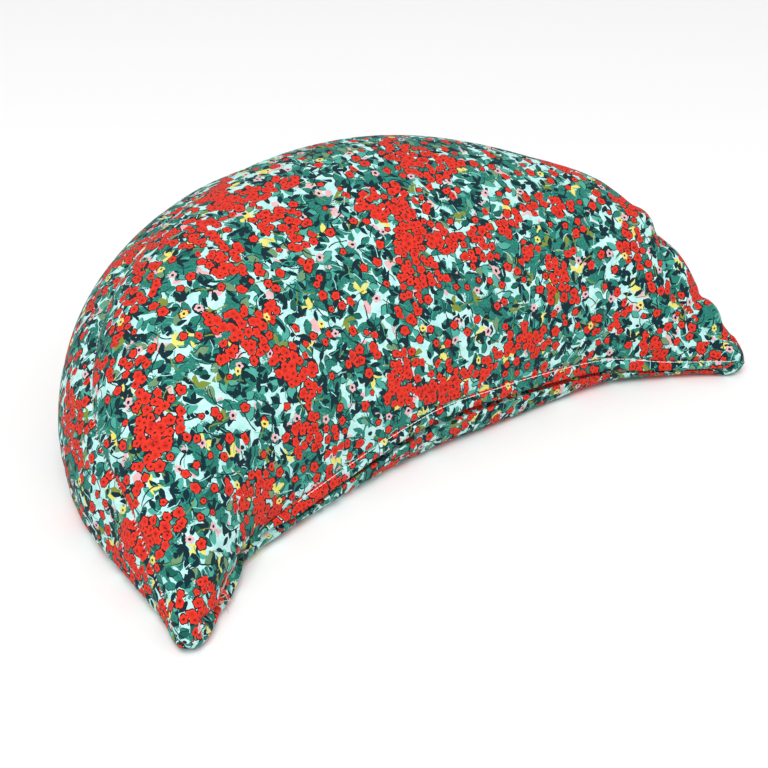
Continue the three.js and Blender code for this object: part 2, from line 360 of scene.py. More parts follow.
def stretch(curve, run, start, end):
    """The part of each curve from one length along it to another, in fine points."""
    fine = np.linspace(0, 1, FINE_STEPS)
    at = start[:, None] + (end - start)[:, None] * fine
    return [
        np.array([np.interp(one_at, one_run, one) for one_at, one_run, one in zip(at, run, axis)])
        for axis in curve
    ]


def section_curves(s):
    """The section as stretches of fine points: top, band, base, front curl and slit."""
    t = s.t
    fine = np.linspace(0, 1, FINE_STEPS)[None]
    quarter = fine * math.pi / 2

    power = col(2 / s.between(FRONT_ROUND))
    crown = (
        col(s.peak_x) - col(s.peak_x - s.lip_x) * np.cos(quarter).clip(0) ** power,
        col(s.lip_z) + col(s.crest - s.lip_z) * np.sin(quarter) ** power,
    )

    back_power = 2 / BACK_ROUND
    angle = math.pi / 2 * (1 - fine)
    back = (
        col(s.peak_x) + col(s.width - s.peak_x) * np.cos(angle).clip(0) ** back_power,
        col(s.girth) + col(s.crest - s.girth) * np.sin(angle).clip(0) ** back_power,
    )
    outer = joined(crown, back)
    run = run_along(*outer)
    seam_run = np.array([
        np.interp(-seam, -z, lengths)
        for seam, z, lengths in zip(s.seam, back[1], run[:, FINE_STEPS:])
    ])
    rolled = np.interp(100 * t, ROLL_ALONG, SEAM_ROLL, left=0)
    seam_run = np.maximum(seam_run - rolled, LEAST_TOP_SHARE * seam_run)
    top = stretch(outer, run, 0 * seam_run, seam_run)
    band = stretch(outer, run, seam_run, run[:, -1])
    seam_x, seam_z = band[0][:, :1], band[1][:, :1]
    base_x, base_z = col(s.width), col(s.girth)

    tightness = col(np.minimum(1, s.width / FULL_PINCH_WIDTH))
    folds = col(sum(
        depth * np.exp(-(((100 * t - at) / spread) ** 2)) for at, spread, depth in BAND_FOLDS
    ))

    def drawn(x, z, band_share):
        near_seam = np.hypot(x - seam_x, z - seam_z) / col(SEAM_PINCH_REACH * s.slim + 3)
        near_base = np.hypot(x - base_x, z - base_z) / BASE_SEAM_REACH
        depth = (
            SEAM_PINCH * tightness * np.exp(-(near_seam**2))
            + BASE_SEAM_PINCH * tightness * np.exp(-(near_base**2))
            + folds * np.sin(math.pi * band_share)
        ) * np.minimum(1, z / BASE_SEAM_REACH)
        in_x, in_z = col(s.peak_x) - x, PINCH_TO * col(s.crest) - z
        length = np.hypot(in_x, in_z)
        return x + in_x / length * depth, z + in_z / length * depth

    top = drawn(*top, 0 * fine)
    band = drawn(*band, fine)
    undercut = col(np.minimum(BACK_UNDERCUT, UNDERCUT_SHARE * s.width))
    under = drawn(
        col(s.width) - undercut * (1 - np.cos(quarter)),
        col(s.girth) * (1 - np.sin(quarter)),
        1 + 0 * fine,
    )
    front_undercut = np.interp(100 * t, FRONT_ALONG, FRONT_UNDERCUT)
    front_undercut = col(np.minimum(front_undercut, UNDERCUT_SHARE * s.width))
    flat_x = (col(s.width) - undercut) * (1 - fine) + front_undercut * fine

    rest = s.front_length - s.lap_width
    belly_x, belly_z = s.lap_point(s.lap_width + BELLY_PLACE * rest, 0)
    curl = (
        front_undercut - (front_undercut - col(belly_x)) * np.sin(quarter),
        col(belly_z) * (1 - np.cos(quarter)),
    )

    open_share = smooth_step(t, LAP_FROM, LAP_FROM + SLIT_RUN_IN)
    open_share = open_share * (1 - smooth_step(t, LAP_TO - SLIT_RUN_IN, LAP_TO))
    gap = np.minimum(np.interp(100 * t, SLIT_ALONG, SLIT_OPEN), SLIT_MOST * rest)
    deep = np.minimum(SLIT_DEEPEST, SLIT_DEPTH[0] + SLIT_DEPTH[1] * gap) * open_share
    measures = np.array([s.lap_width, gap, rest - gap, deep, np.ones_like(t)])
    slit = [
        s.lap_point(np.array(down) @ measures, out[0] * deep + out[1] * open_share)
        for down, out in SLIT_ROWS
    ]
    slit = [np.stack([point[axis] for point in slit], 1) for axis in (0, 1)]
    return top, band, joined(under, (flat_x, 0 * flat_x)), curl, slit


def rows_along(curve, count, near_start, near_end):
    """Picks points of a fine curve: even ones, and some at set distances from its ends."""
    x, z = curve
    run = run_along(x, z)
    picked = []
    for one_x, one_z, one_run in zip(x, z, run):
        length = one_run[-1]
        step = length / count
        start = [min(d, 0.5 * step * (i + 1)) for i, d in enumerate(near_start)]
        end = [length - min(d, 0.5 * step * (i + 1)) for i, d in enumerate(near_end)][::-1]
        first, last = ([0] + start)[-1], (end + [length])[0]
        middle = np.linspace(first, last, count - len(start) - len(end) + 1)[1:-1]
        at = np.concatenate([[0], start, middle, end])
        picked.append((np.interp(at, one_run, one_x), np.interp(at, one_run, one_z)))
    return np.array(picked).transpose(1, 0, 2)


def cover_rings(t):
    """The rings of the filled cover."""
    s = Sections(t)
    top, band, base, curl, slit = section_curves(s)
    parts = [
        rows_along(top, TOP_ROWS, NEAR_SEAM, NEAR_SEAM),
        rows_along(band, BAND_ROWS, NEAR_SEAM, NEAR_SEAM[:2]),
        rows_along(base, BASE_ROWS, NEAR_SEAM[:2], ()),
        rows_along(curl, CURL_ROWS, (), ()),
        slit,
    ]
    x, z = (np.concatenate([part[axis] for part in parts], 1) for axis in (0, 1))
    return s.place(x, z)


def box_foot(low, high):
    """The middle of the lower face of a box."""
    return np.array([(low[0] + high[0]) / 2, (low[1] + high[1]) / 2, low[2]])


def home(points):
    """Points of the drawing, in millimetres, at their place in the frame, in metres."""
    return (points - drawing_foot) * MM + box_foot(*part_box("cushion"))


def new_piece(name, points, faces, edges=()):
    mesh = bpy.data.meshes.new(name)
    mesh.from_pydata([tuple(p) for p in points], edges, faces)
    mesh.validate()
    piece = bpy.data.objects.new(name, mesh)
    bpy.context.scene.collection.objects.link(piece)
    return piece


def ring_faces(rings, count):
    """The four-sided faces between neighbouring closed rings."""
    faces = []
    for i in range(rings - 1):
        for j in range(count):
            k = (j + 1) % count
            faces.append((i * count + j, (i + 1) * count + j, (i + 1) * count + k, i * count + k))
    return faces


def plain_mesh(piece):
    """Works the piece's modifiers into its mesh."""
    shown = piece.evaluated_get(bpy.context.evaluated_depsgraph_get())
    mesh = bpy.data.meshes.new_from_object(shown)
    piece.modifiers.clear()
    old = piece.data
    piece.data = mesh
    bpy.data.meshes.remove(old)


def settle_in(piece, material=None):
    """The piece's material, unless its nodes set it, then its smooth faces and body."""
    if material:
        piece.data.materials.append(material)
    piece.data.shade_smooth()
    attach(piece, "root")


def read(items, name, kind=float, width=1):
    """One value of each item of a mesh, as an array."""
    values = np.empty(len(items) * width, kind)
    items.foreach_get(name, values)
    return values.reshape(-1, width) if width > 1 else values


def points_of(piece):
    return read(piece.data.vertices, "co", width=3)


def put_points(piece, points):
    piece.data.vertices.foreach_set("co", np.ascontiguousarray(points).ravel())
    piece.data.update()


def unit(vectors):
    return vectors / np.linalg.norm(vectors, axis=-1, keepdims=True)


drawing = cover_rings(stations(STATIONS)).reshape(-1, 3)
drawing_foot = box_foot(drawing.min(0), drawing.max(0))


# The cover

def make_cover():
    rings = cover_rings(stations(STATIONS))
    count = rings.shape[1]
    ends = np.array([TIP_SHARE, 1 - TIP_SHARE])
    tips = Sections(ends).place(np.zeros((2, 1)), np.zeros((2, 1)))[:, 0]
    points = home(np.concatenate([rings.reshape(-1, 3), tips]))
    faces = ring_faces(len(rings), count)
    first, last = len(rings) * count, len(rings) * count + 1
    end = (len(rings) - 1) * count
    for j in range(count):
        k = (j + 1) % count
        faces.append((first, j, k))
        faces.append((last, end + k, end + j))
    return new_piece("cushion_cover", points, faces), count


def flat_area(corners):
    x, y = corners.T
    return 0.5 * abs(np.dot(x, np.roll(y, -1)) - np.dot(y, np.roll(x, -1)))


def cut_out(piece, count):
    """Lays the panels out flat, in metres, so that the print breaks at the seams."""
    mesh = piece.data
    tips = {len(mesh.vertices) - 2, len(mesh.vertices) - 1}
    for edge in mesh.edges:
        a, b = edge.vertices
        if a in tips or b in tips:
            edge.use_seam = (b if a in tips else a) % count in PANEL_ROWS
        else:
            edge.use_seam = a % count == b % count and a % count in PANEL_ROWS
    mesh.uv_layers.new(name="cloth")
    bpy.context.view_layer.objects.active = piece
    piece.select_set(True)
    bpy.ops.object.mode_set(mode="EDIT")
    bpy.ops.mesh.select_all(action="SELECT")
    bpy.ops.uv.unwrap(method="MINIMUM_STRETCH", iterations=UNWRAP_ROUNDS, margin=0.01)
    bpy.ops.object.mode_set(mode="OBJECT")
    piece.select_set(False)

    starts = read(mesh.polygons, "loop_start", int)
    totals = read(mesh.polygons, "loop_total", int)
    area = read(mesh.polygons, "area")
    uv = read(mesh.uv_layers["cloth"].data, "uv", width=2)
    place = points_of(piece)[read(mesh.loops, "vertex_index", int)]
    faces = np.arange(len(starts))
    face_of = np.repeat(faces, totals)
    quads = (STATIONS - 2) * count
    column_of = np.where(faces < quads, faces % count, (faces - quads) // 2)
    for number, (start, end) in enumerate(zip(PANEL_ROWS, PANEL_ROWS[1:] + (count,))):
        mine = (column_of >= start) & (column_of < end)
        corners = mine[face_of]
        flat = sum(flat_area(uv[starts[f] : starts[f] + totals[f]]) for f in np.flatnonzero(mine))
        spot, ground = uv[corners] * math.sqrt(area[mine].sum() / flat), place[corners]
        spot -= spot.mean(0)
        ground = ground[:, :2] - ground[:, :2].mean(0)
        turn = math.atan2(
            (spot[:, 0] * ground[:, 1] - spot[:, 1] * ground[:, 0]).sum(),
            (spot[:, 0] * ground[:, 0] + spot[:, 1] * ground[:, 1]).sum(),
        )
        spin = np.array([[math.cos(turn), math.sin(turn)], [-math.sin(turn), math.cos(turn)]])
        uv[corners] = spot @ spin + PANEL_SHIFT * number
    mesh.uv_layers["cloth"].data.foreach_set("uv", uv.ravel())


def swell(piece, held):
    """Fills the cover: the cloth swells under pressure between what holds it."""
    group = piece.vertex_groups.new(name="held")
    for weight in sorted(set(held)):
        group.add([int(v) for v in np.flatnonzero(held == weight)], float(weight), "REPLACE")
    cloth = piece.modifiers.new("swell", "CLOTH")
    for key, value in SWELL.items():
        setattr(cloth.settings, key, value)
    cloth.settings.vertex_group_mass = "held"
    cloth.settings.effector_weights.gravity = 0
    cloth.collision_settings.use_collision = False
    cloth.point_cache.frame_start = 1
    cloth.point_cache.frame_end = SWELL_FRAMES
    for number in range(1, SWELL_FRAMES + 1):
        bpy.context.scene.frame_set(number)
    shown = piece.evaluated_get(bpy.context.evaluated_depsgraph_get())
    moved = points_of(shown) - points_of(piece)
    piece.modifiers.remove(cloth)
    piece.vertex_groups.clear()
    bpy.context.scene.frame_set(1)
    length = np.linalg.norm(moved, axis=1, keepdims=True)
    return moved * np.minimum(1, SWELL_CAP / np.maximum(length, 1e-9))


def settled(moved, count):
    """Keeps the wrinkles of a swollen cover, full near the seams and soft between them."""
    grid = moved[:-2].reshape(-1, count, 3)
    broad = grid
    for _ in range(BROAD_ROUNDS):
        before, after = np.roll(broad, 1, 1), np.roll(broad, -1, 1)
        broad = 0.5 * broad + 0.25 * (before + after)
        padded = np.concatenate([broad[:1], broad, broad[-1:]])
        broad = 0.5 * broad + 0.25 * (padded[:-2] + padded[2:])
    rows = np.arange(count)
    from_seam = np.minimum(np.abs(rows - TOP_ROWS), np.abs(rows - TOP_ROWS - BAND_ROWS))
    near_seam = np.exp(-((np.minimum(rows, from_seam) / WRINKLE_ROWS) ** 2))
    keep = INNER_WRINKLES + (1 - INNER_WRINKLES) * near_seam
    share = np.interp(100 * stations(STATIONS), *PUCKER_SHARE) / PUCKER_SHARE[1][0]
    result = BROAD_SHARE * broad + keep[None, :, None] * share[:, None, None] * (grid - broad)
    return np.concatenate([result.reshape(-1, 3), 0 * moved[-2:]])


def ripple(run, seed, shortest, longest):
    """An uneven wave along a seam, from about -1 to 1. All lengths are in mm."""
    draw = np.random.default_rng(seed)
    lengths = np.geomspace(shortest, longest, 6)
    waves = [np.cos(2 * math.pi * (run / one + draw.random())) for one in lengths]
    swing = 0.6 + 0.4 * np.cos(2 * math.pi * (run / (4.3 * longest) + draw.random()))
    return sum(waves) / math.sqrt(len(waves)) * swing


def path_over(grid, percent, path, steps):
    """Points on the grid along a path, which is given as percent along and row."""
    path = np.array(path, float)
    share = np.linspace(0, 1, steps)
    knots = np.linspace(0, 1, len(path))
    at, row = np.interp(share, knots, path[:, 0]), np.interp(share, knots, path[:, 1])
    station = np.interp(at, percent, np.arange(len(percent)))
    low, left = np.floor(station).astype(int), np.floor(row).astype(int)
    over, across = (station - low)[:, None], (row - left)[:, None]
    high, right = np.minimum(low + 1, len(grid) - 1), (left + 1) % grid.shape[1]
    left = left % grid.shape[1]
    return (
        (1 - over) * ((1 - across) * grid[low, left] + across * grid[low, right])
        + over * ((1 - across) * grid[high, left] + across * grid[high, right])
    )


def near_path(grid, percent, path, spread):
    """How near each point of the grid is to a path over it: 1 on the path, and fading out."""
    share = np.linspace(0, 1, PATH_STEPS)
    spots = path_over(grid, percent, path, PATH_STEPS)
    near = np.zeros(grid.shape[:2])
    for spot, strength in zip(spots, np.sqrt(np.sin(math.pi * share).clip(0))):
        gap = np.linalg.norm(grid - spot, axis=2)
        near = np.maximum(near, strength * np.exp(-((gap / spread) ** 2)))
    return near


def sew_in(piece, count):
    """Draws the seams in, puckers the cloth beside them and lays the creases."""
    points = points_of(piece) / MM
    grid = points[:-2].reshape(-1, count, 3)
    along = stations(STATIONS)
    out = read(piece.data.vertices, "normal", width=3)[:-2].reshape(grid.shape)
    # The folds inside the slit point every way, so the rows there lean over to the top's way
    over = np.linspace(0, 1, BASE_FREE_ROWS + 1)[None, :-1, None]
    last = out[:, -BASE_FREE_ROWS - 1 : -BASE_FREE_ROWS]
    out[:, -BASE_FREE_ROWS:] = unit((1 - over) * last + over * out[:, 2:3])
    out[:, :2] = out[:, 2:3]
    around = np.linalg.norm(np.roll(grid, -1, 1) - grid, axis=2)
    run = np.concatenate([np.zeros((len(grid), 1)), np.cumsum(around, 1)], 1)
    girth, run = run[:, -1:], run[:, :-1]
    depth = np.zeros(grid.shape[:2])
    small = np.minimum(1, girth / SLIM_GIRTH)
    for row, grooved, puckered, reach, seed in SEAMS:
        away = np.abs(run - run[:, row : row + 1])
        away = np.minimum(away, girth - away)
        depth += small * grooved * np.exp(-((away / GROOVE_REACH) ** 2))
        fold = ripple(run_of(grid[:, row]), seed, *PUCKER_LENGTHS)
        fold = (fold * np.interp(100 * along, *PUCKER_SHARE))[:, None]
        rising = 1 - np.exp(-((away / FLAT_BESIDE_SEAM) ** 2))
        depth += small * puckered * fold * rising * np.exp(-away / reach)
    for deep, spread, path in CREASES:
        depth += deep * near_path(grid, 100 * along, path, spread)
    depth[:, TOP_ROWS + BAND_ROWS + 4 : -BASE_FREE_ROWS] = 0
    moved = grid - out * depth[..., None]
    moved[..., 2] = np.maximum(moved[..., 2], points[:, 2].min())
    points[:-2] = moved.reshape(-1, 3)
    put_points(piece, points * MM)


cover, ring_count = make_cover()
cut_out(cover, ring_count)

# Materials

def srgb(red, green, blue):
    """A colour as seen, 0 to 255, as light."""
    return tuple(
        (c / 255 / 12.92 if c / 255 <= 0.04045 else ((c / 255 + 0.055) / 1.055) ** 2.4)
        for c in (red, green, blue)
    ) + (1.0,)


def both(operation):
    """An operator between shader values and numbers, and its reflected form."""
    return (
        lambda self, other: self.nodes.math(operation, self, other),
        lambda self, other: self.nodes.math(operation, other, self),
    )


class Number:
    """A shader value, which Python arithmetic builds Math nodes for."""

    def __init__(self, nodes, socket):
        self.nodes, self.socket = nodes, socket

    def __abs__(self):
        return self.nodes.math("ABSOLUTE", self)

    def __gt__(self, other):
        return self.nodes.math("GREATER_THAN", self, other)

    __add__, __radd__ = both("ADD")
    __sub__, __rsub__ = both("SUBTRACT")
    __mul__, __rmul__ = both("MULTIPLY")
    __truediv__, __rtruediv__ = both("DIVIDE")
class Nodes:
    """A node tree being put together. All its nodes but arithmetic come from add()."""

    def add(self, kind, settings=None, sockets=None):
        node = self.tree.nodes.new(kind)
        for key, value in (settings or {}).items():
            setattr(node, key, value)
        for key, value in (sockets or {}).items():
            mine = (s for s in node.inputs if s.enabled and key in (s.identifier, s.name))
            self.fill(next(mine), value)
        return node

    def fill(self, socket, value):
        """Links a value to a socket, or sets it there."""
        value = getattr(value, "socket", value)
        if isinstance(value, bpy.types.NodeSocket):
            self.tree.links.new(value, socket)
        else:
            socket.default_value = value

    def worked(self, kind, operation, values):
        node = self.add(kind, {"operation": operation})
        for socket, value in zip(node.inputs, values):
            self.fill(socket, value)
        return node.outputs

    def math(self, operation, *values):
        return Number(self, self.worked("ShaderNodeMath", operation, values)[0])


class Finish(Nodes):
    """A material being put together."""

    def __init__(self, name):
        self.material = bpy.data.materials.new(name)
        self.material.use_nodes = True
        self.tree = self.material.node_tree
        self.tree.nodes.clear()

    def vector(self, operation, *values):
        outputs = self.worked("ShaderNodeVectorMath", operation, values)
        return outputs["Value" if operation == "LENGTH" else "Vector"]

    def parts(self, vector):
        node = self.add("ShaderNodeSeparateXYZ", sockets={"Vector": vector})
        return [Number(self, out) for out in node.outputs]

    def mix(self, factor, below, above):
        node = self.add(
            "ShaderNodeMix",
            {"data_type": "RGBA"},
            {"Factor_Float": factor, "A_Color": below, "B_Color": above},
        )
        return next(s for s in node.outputs if s.identifier == "Result_Color")

    def noise(self, where, size, detail=2.0):
        node = self.add(
            "ShaderNodeTexNoise",
            {"noise_dimensions": "2D"},
            {"Vector": where, "Scale": 1 / size, "Detail": detail},
        )
        return Number(self, node.outputs[0]), node.outputs[1]

    def surface(self, sockets):
        """Ends the material with its one shader."""
        shader = self.add("ShaderNodeBsdfPrincipled", sockets=sockets)
        self.add("ShaderNodeOutputMaterial", sockets={"Surface": shader.outputs[0]})
        return self.material


class Motifs:
    """One layer of the print: a motif in each cell of a loose grid, turned at random.

    The shapes give how deep a point lies inside the motif, in mm, and less than 0 outside.
    """

    def __init__(self, finish, where, spacing, shift, jitter=0.7):
        self.finish = finish
        spot = finish.vector("ADD", where, shift)
        grid = {"Vector": spot, "Scale": 1 / spacing, "Randomness": jitter}
        cells = finish.add(
            "ShaderNodeTexVoronoi", {"voronoi_dimensions": "2D", "feature": "F1"}, grid
        )
        self.grid, self.spacing = grid, spacing
        self.centre = cells.outputs["Position"]
        self.chance, self.tint, self.size = finish.parts(cells.outputs["Color"])
        local = finish.vector("SUBTRACT", spot, self.centre)
        turned = finish.add(
            "ShaderNodeVectorRotate",
            {"rotation_type": "Z_AXIS"},
            {"Vector": local, "Angle": (self.tint * 7.0 + self.size) * 6.283},
        )
        self.x, self.y, _ = finish.parts(turned.outputs["Vector"])
        self.away = Number(finish, finish.vector("LENGTH", local))

    def some(self, depth, share):
        """The motif in only this share of the cells."""
        return self.finish.math("MINIMUM", depth, 1e5 * (share - self.chance))

    def from_edge(self):
        """The distance to the nearest neighbouring cell, in mm."""
        edge = self.finish.add(
            "ShaderNodeTexVoronoi",
            {"voronoi_dimensions": "2D", "feature": "DISTANCE_TO_EDGE"},
            self.grid,
        )
        return Number(self.finish, edge.outputs["Distance"]) * self.spacing

    def leaf(self, half_length, half_width):
        """One almond leaf, a little bent."""
        across = self.x / half_length
        bent = self.y + 0.12 * half_length * (across * across)
        return half_width * (1 - across * across) - abs(bent)

    def whorl(self, leaves, middle, half_length, half_width, open_side=None):
        """Leaves that spring from one point, all round it or in a fan."""
        f = self.finish
        swirl = f.math("ARCTAN2", self.y, self.x) + 0.05 * self.away + 12.566
        off = f.math("PINGPONG", swirl, math.pi / leaves)
        forward = (self.away * f.math("COSINE", off) - middle) / half_length
        depth = half_width * (1 - forward * forward) - self.away * f.math("SINE", off)
        if open_side is not None:
            depth = f.math("MINIMUM", depth, self.x - open_side * self.away)
        return depth

    def stroke(self, half_length, half_width):
        """A thin bent stroke."""
        bent = self.y + 0.035 * (self.x * self.x) - 1
        return self.finish.math("MINIMUM", half_width - abs(bent), half_length - abs(self.x))

    def blossom(self, radius, petals, lobe):
        f = self.finish
        angle = f.math("ARCTAN2", self.y, self.x)
        return radius * (1 - lobe + lobe * abs(f.math("COSINE", angle * (petals / 2)))) - self.away


RED = srgb(240, 62, 44)
DEEP_RED = srgb(188, 36, 30)
WINE = srgb(104, 26, 26)
INK = srgb(52, 26, 30)
NAVY = srgb(16, 46, 54)
TEAL = srgb(54, 146, 130)
FOREST = srgb(26, 96, 86)
JADE = srgb(80, 170, 154)
SAGE = srgb(112, 150, 112)
AQUA = srgb(176, 234, 230)
PALE = srgb(214, 240, 236)
LEMON = srgb(232, 222, 116)
OLIVE = srgb(128, 142, 58)
PINK = srgb(230, 182, 186)
PRINT_SCALE = 0.9


def printed_cotton(name):
    f = Finish(name)
    uv = f.add("ShaderNodeUVMap", {"uv_map": "cloth"}).outputs[0]
    flat = f.vector("MULTIPLY", uv, (1000 / PRINT_SCALE, 1000 / PRINT_SCALE, 0))

    def shaken(where, size, by):
        shake = f.vector("SUBTRACT", f.noise(where, size, 1)[1], (0.5, 0.5, 0.5))
        return f.vector("ADD", where, f.vector("MULTIPLY", shake, (by, by, 0)))

    where = shaken(shaken(flat, 9, 2.6), 1.8, 0.5)
    wash = f.noise(flat, 6, 3)[0]
    speckle = f.noise(flat, 1.1, 3)[0]
    thicket = f.noise(f.vector("ADD", flat, (311, 77, 0)), 26, 1.5)[0]
    glade = f.noise(f.vector("ADD", flat, (57, 511, 0)), 15, 1.5)[0]

    mottled = f.mix(1.6 * speckle - 0.3, FOREST, TEAL)
    ground = f.mix(1.6 * wash - 0.5, AQUA, PALE)
    ground = f.mix(glade > 0.66, ground, PINK)
    colour = f.mix(thicket + 0.2 * speckle > 0.655, ground, mottled)

    def lay(depth, ink):
        nonlocal colour
        colour = f.mix(depth > 0.0, colour, ink)

    # Leaves and stems: spacing and shift of the cells, motif, its sizes in mm, the share of cells
    # and the ink, or two inks and the tint from which the second is used
    for spacing, shift, motif, sizes, share, inks in (
        (17, (3, 40, 0), "whorl", (5, 4.4, 4.4, 2.1, 0.1), 0.75, (mottled,)),
        (11, (61, 7, 0), "leaf", (5.4, 2.4), 0.75, (mottled, JADE, 0.7)),
        (9.7, (251, 143, 0), "leaf", (4.4, 1.9), 0.5, (FOREST, JADE, 0.4)),
        (12.3, (167, 33, 0), "leaf", (4.8, 2.3), 0.6, (mottled, SAGE, 0.7)),
        (19, (133, 71, 0), "whorl", (5, 4.2, 4.6, 2.0, 0.35), 0.42, (LEMON, OLIVE, 0.5)),
        (14.5, (17, 93, 0), "whorl", (6, 3.8, 3.9, 1.7, 0.2), 0.72, (NAVY, mottled, 0.8)),
        (8.8, (31, 155, 0), "leaf", (3.8, 1.6), 0.6, (NAVY,)),
        (10.4, (211, 91, 0), "stroke", (4.0, 0.24), 0.6, (AQUA, JADE, 0.5)),
        (18, (151, 269, 0), "stroke", (7.0, 0.42), 0.85, (NAVY,)),
        (15, (71, 39, 0), "stroke", (5.0, 0.35), 0.6, (OLIVE, NAVY, 0.5)),
    ):
        layer = Motifs(f, where, spacing, shift)
        depth = getattr(layer, motif)(*sizes)
        ink = inks[0]
        if len(inks) > 1:
            ink = f.mix(layer.tint > inks[2], *inks[:2])
            if motif == "leaf":
                # A dark edge along one side
                edge = f.math("MINIMUM", depth + 0.65, 4 * layer.y)
                lay(layer.some(edge, share), NAVY)
        lay(layer.some(depth, share), ink)
    layer = Motifs(f, where, 11, (97, 219, 0))
    lay(layer.some(1.2 + 0.5 * layer.size - layer.away, 0.36), NAVY)
    layer = Motifs(f, where, 23, (5, 201, 0))
    lay(layer.some(layer.blossom(2.9, 5, 0.3), 0.55), PINK)
    lay(layer.some(1.0 - layer.away, 0.55), NAVY)

    reds = []
    for spacing, shift, least, small, more in (
        (5.6, (91, 117, 0), 0.612, 2.4, 1.1),
        (6.3, (43, 29, 0), 0.624, 2.4, 1.2),
    ):
        layer = Motifs(f, where, spacing, shift)
        patch = f.noise(shaken(layer.centre, 34, 30), 44, 1.8)[0] + 0.1 * (layer.chance - 0.5)
        reds.append((layer, f.math(
            "MINIMUM", layer.blossom(small + more * layer.size, 5, 0.24), 1e5 * (patch - least)
        )))
    layer = Motifs(f, where, 9.5, (7, 67, 0), 0.75)
    reds.append((layer, layer.some(layer.blossom(1.7 + 1.8 * layer.size, 5, 0.24), 0.38)))
    red = f.math("MAXIMUM", f.math("MAXIMUM", reds[0][1], reds[1][1]), reds[2][1])
    lay(red + 0.72, INK)
    lay(red, f.mix(0.34 * red + 0.5 * (wash - 0.5), RED, DEEP_RED))
    line = f.math("MINIMUM", 0.32 - reds[1][0].from_edge(), reds[1][1] - 0.4)
    lay(f.math("MINIMUM", line, glade - 0.44), WINE)
    for layer, depth in reds:
        dot = f.math("MINIMUM", 0.6 - layer.away, f.math("MINIMUM", depth - 1, layer.tint - 0.35))
        lay(dot, WINE)
    layer = Motifs(f, where, 36, (77, 23, 0))
    lay(layer.some(layer.blossom(2.6, 6, 0.25), 0.38), LEMON)
    lay(layer.some(0.8 - layer.away, 0.38), WINE)

    shade = (0.8 + 0.32 * speckle) * (0.82 + 0.28 * wash)
    tone = f.add(
        "ShaderNodeVectorMath", {"operation": "SCALE"}, {"Vector": colour, "Scale": shade}
    )
    threads = f.parts(f.vector("MULTIPLY", flat, (14.0, 14.0, 0)))
    weave = f.math("SINE", threads[0]) * f.math("SINE", threads[1])
    bump = f.add(
        "ShaderNodeBump",
        sockets={"Strength": 0.25, "Distance": 0.00012, "Height": weave + 2.0 * wash},
    )
    return f.surface({
        "Base Color": tone.outputs[0],
        "Roughness": 0.78 + 0.14 * wash,
        "Sheen Weight": 0.04,
        "Specular IOR Level": 0.1,
        "Normal": bump.outputs[0],
    })


cotton = printed_cotton("printed_cotton")

row_weight = np.zeros(ring_count)
row_weight[list(PANEL_ROWS)] = 1
row_weight[PANEL_ROWS[-1] :] = 1
held = np.concatenate([np.tile(row_weight, STATIONS - 1), [1, 1]])
put_points(cover, points_of(cover) + settled(swell(cover, held), ring_count))
sew_in(cover, ring_count)

settle_in(cover, cotton)
subdivide = cover.modifiers.new("smooth", "SUBSURF")
subdivide.levels = subdivide.render_levels = 1
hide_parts("cushion")


# The folded lap over the slit

def make_lap(t):
    s = Sections(t)
    run = run_of(s.place(*[c[:, None] for c in s.lap_point(0, 0)])[:, 0])
    from_end = run[-1] - run
    full = smooth_step(run, -2, LAP_TAPER[0]) * smooth_step(from_end, -2, LAP_TAPER[1])
    width = (s.lap_width - LAP_SHORTER) * (0.1 + 0.9 * full)
    inside = smooth_step(np.minimum(run, from_end), 0, 20)
    width = (width + 0.3 * ripple(run, 21, 24, 70) * inside)[:, None]
    full = full[:, None]
    share, extra, proud = np.array(LAP_SECTION).T
    down = share * width + extra
    lift = 0.18 * ripple(run, 22, 9, 30)[:, None]
    proud = proud + lift * np.sin(np.pi * np.clip(down / width, 0, 1))
    proud = proud * full - 0.3 * (1 - full)
    across = np.array([run_of(path) for path in np.stack([down, proud], -1)])
    points = s.place(
        s.lip_x[:, None] + s.down[:, :1] * down + s.out[:, :1] * proud,
        s.lip_z[:, None] + s.down[:, 1:] * down + s.out[:, 1:] * proud,
    )
    rows = len(LAP_SECTION)
    faces = [
        (i * rows + j, i * rows + j + 1, (i + 1) * rows + j + 1, (i + 1) * rows + j)
        for i in range(LAP_STATIONS - 1)
        for j in range(rows - 1)
    ]
    lap = new_piece("closure_lap", home(points.reshape(-1, 3)), faces)
    spots = np.stack([np.repeat(run, rows), across.ravel()], 1) * MM + LAP_PRINT_AT
    layer = lap.data.uv_layers.new(name="cloth")
    layer.data.foreach_set("uv", spots[read(lap.data.loops, "vertex_index", int)].ravel())
    wall = lap.modifiers.new("cloth", "SOLIDIFY")
    wall.thickness = CLOTH * MM
    wall.offset = 0
    plain_mesh(lap)
    return lap, (across[:, -1].mean() * MM, run[-1] * MM), points


lap_shares = np.linspace(LAP_FROM, LAP_TO, LAP_STATIONS)
lap, lap_flat, lap_points = make_lap(lap_shares)
settle_in(lap, cotton)
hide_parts("zip_lap")


# Sewing

STITCH_INPUTS = {
    "Pitch": "NodeSocketFloat",
    "Stitch length": "NodeSocketFloat",
    "Thread radius": "NodeSocketFloat",
    "Arch": "NodeSocketFloat",
    "Unevenness": "NodeSocketFloat",
    "Seed": "NodeSocketInt",
    "Thread": "NodeSocketMaterial",
}


